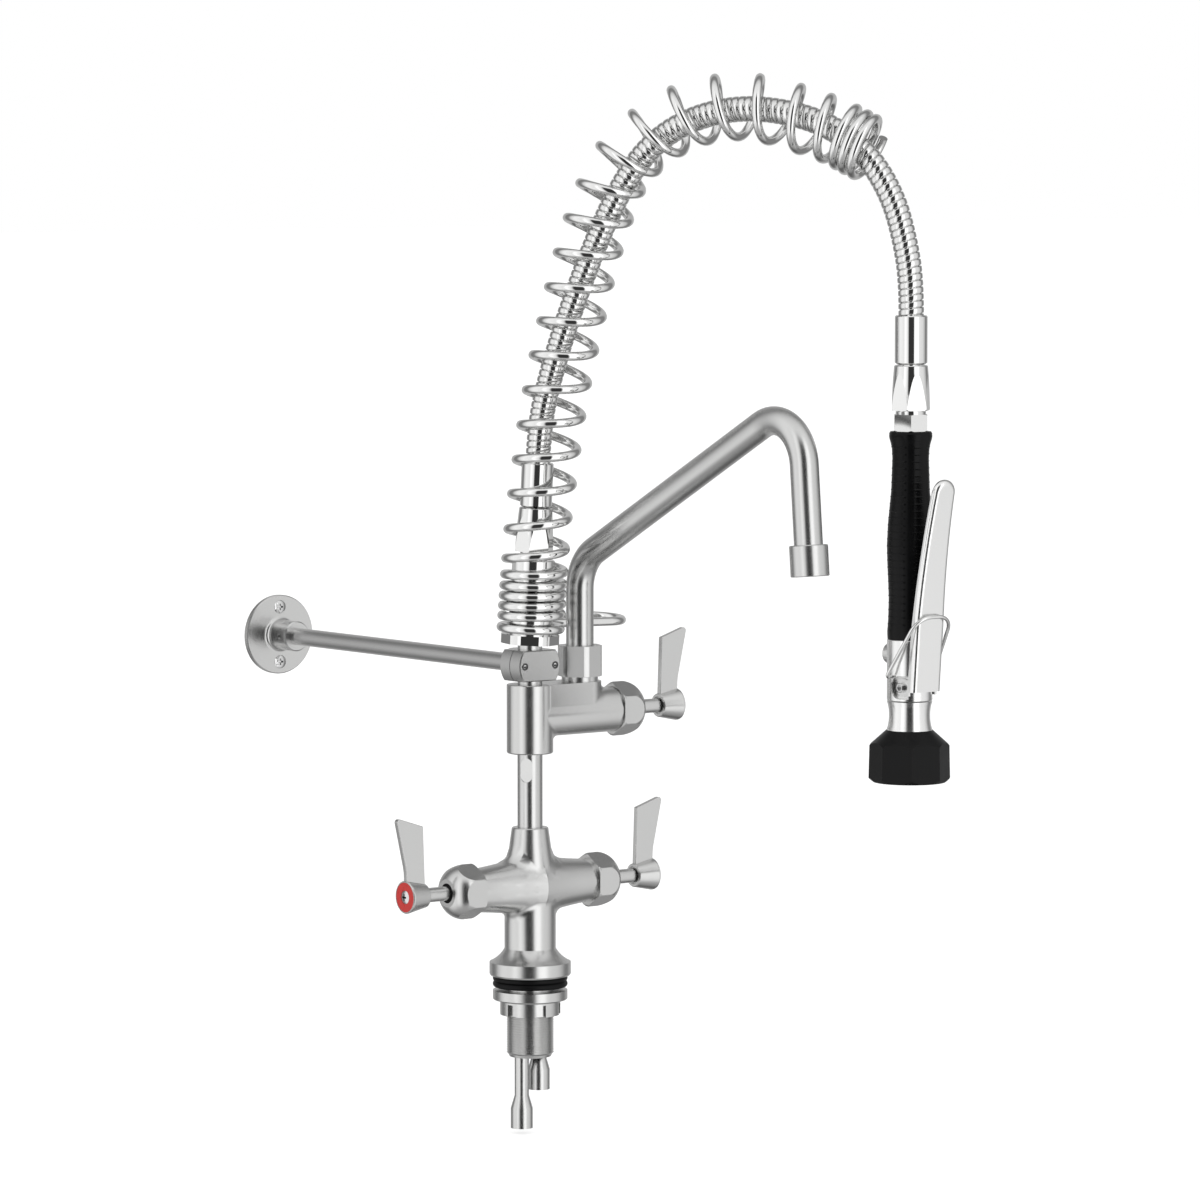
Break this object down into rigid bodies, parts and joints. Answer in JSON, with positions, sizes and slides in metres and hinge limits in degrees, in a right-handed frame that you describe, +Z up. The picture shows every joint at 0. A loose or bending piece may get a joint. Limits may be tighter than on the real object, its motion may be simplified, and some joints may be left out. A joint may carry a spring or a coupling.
{
  "type": "pre rinse faucet",
  "caption": "Deck-mounted pre-rinse faucet: lever mixer, swivel pot-filler spout, wall-braced riser, sprung hose arch and hanging trigger spray gun.",
  "frame": {"origin": "on the column's axis, in the plane of the deck that the rubber seal presses on", "axes": "+Z up along the column, -Y towards the user, +Y towards the wall, hot valve at -X and cold valve at +X"},
  "size_m": [0.2916, 0.5813, 0.733],
  "materials": {
    "satin_steel": "satin brushed stainless steel",
    "polished_steel": "polished stainless steel",
    "spring_steel": "polished stainless spring wire",
    "hose_steel": "stainless interlock hose",
    "gun_steel": "satin polished",
    "screw_steel": "bright stainless",
    "valve_brass": "machined",
    "black_rubber": "matte moulded rubber",
    "grip_rubber": "ribbed moulded rubber",
    "bumper_rubber": "smooth moulded rubber",
    "dark_plastic": "moulded",
    "red_index": "gloss",
    "blue_index": "gloss"
  },
  "bodies": {
    "root": {"mixing_body": "satin_steel", "threaded_shank": "satin_steel", "deck_seal": "black_rubber", "clamp_washer": "satin_steel", "back_nut": "satin_steel", "hot_tail": "satin_steel", "cold_tail": "satin_steel", "riser_tube": "satin_steel", "pot_filler_body": "satin_steel", "spout_gland_nut": "satin_steel", "upper_stem": "satin_steel", "clamp_front": "satin_steel", "clamp_rear": "satin_steel", "clamp_screws": "screw_steel", "wall_arm": "satin_steel", "wall_flange": "satin_steel", "flange_set_screw": "screw_steel", "wall_screws": "screw_steel", "spring_seat": "polished_steel", "arch_spring": "spring_steel", "spray_hook": "spring_steel", "lower_swivel_nut": "polished_steel", "lower_ferrule": "polished_steel", "hose": "hose_steel", "upper_ferrule": "polished_steel", "hot_bonnet_nut": "satin_steel", "hot_cartridge": "valve_brass", "cold_bonnet_nut": "satin_steel", "cold_cartridge": "valve_brass", "spout_bonnet_nut": "satin_steel", "spout_cartridge": "valve_brass"},
    "hot_valve": {"hot_spindle": "satin_steel", "hot_lever": "satin_steel", "hot_index_disc": "red_index", "hot_lever_screw": "screw_steel"},
    "cold_valve": {"cold_spindle": "satin_steel", "cold_lever": "satin_steel", "cold_index_disc": "blue_index", "cold_lever_screw": "screw_steel"},
    "spout_valve": {"spout_spindle": "satin_steel", "spout_lever": "satin_steel", "spout_index_disc": "blue_index", "spout_lever_screw": "screw_steel"},
    "spout": {"spout_tube": "satin_steel", "aerator_housing": "satin_steel", "aerator_insert": "dark_plastic"},
    "gun": {"upper_swivel_nut": "polished_steel", "adapter_nut": "polished_steel", "grip": "grip_rubber", "core_tube": "valve_brass", "spray_body": "gun_steel", "spray_neck": "gun_steel", "bumper": "bumper_rubber", "spray_face": "dark_plastic", "valve_spring": "screw_steel", "valve_cap": "gun_steel", "trigger_pivot_screw": "screw_steel"},
    "trigger": {"trigger_lever": "gun_steel"},
    "plunger": {"valve_plunger": "valve_brass"},
    "bail": {"bail_ring": "spring_steel"}
  },
  "joints": [
    {"name": "hot_lever_turn", "type": "hinge", "parent": "root", "child": "hot_valve", "pos_m": [-0.1, 0, 0.0707], "axis": [1, 0, 0], "range_deg": [0, 90]},
    {"name": "cold_lever_turn", "type": "hinge", "parent": "root", "child": "cold_valve", "pos_m": [0.1, 0, 0.0707], "axis": [1, 0, 0], "range_deg": [0, 90]},
    {"name": "spout_lever_turn", "type": "hinge", "parent": "root", "child": "spout_valve", "pos_m": [0.12, 0, 0.19], "axis": [1, 0, 0], "range_deg": [0, 90]},
    {"name": "spout_swing", "type": "hinge", "parent": "root", "child": "spout", "pos_m": [0.0435, 0, 0.22], "axis": [0, 0, 1], "range_deg": [-25, 10]},
    {"name": "spray_swivel", "type": "hinge", "parent": "root", "child": "gun", "pos_m": [0.14978, -0.23063, 0.41], "axis": [0, 0, 1], "continuous": true},
    {"name": "trigger_squeeze", "type": "hinge", "parent": "gun", "child": "trigger", "pos_m": [0.14978, -0.23713, 0.219], "axis": [1, 0, 0], "range_deg": [-6, 0], "stiffness_Nm_per_rad": 0.5, "springref_deg": 5.73},
    {"name": "plunger_push", "type": "slide", "parent": "gun", "child": "plunger", "axis": [0, 1, 0], "range_m": [0, 0.0023]},
    {"name": "bail_swing", "type": "hinge", "parent": "gun", "child": "bail", "pos_m": [0.14978, -0.23063, 0.2261], "axis": [1, 0, 0], "range_deg": [0, 75]}
  ],
  "couplings": [
    {"joint": "plunger_push", "follows": "trigger_squeeze", "m_per_rad": -0.021}
  ]
}
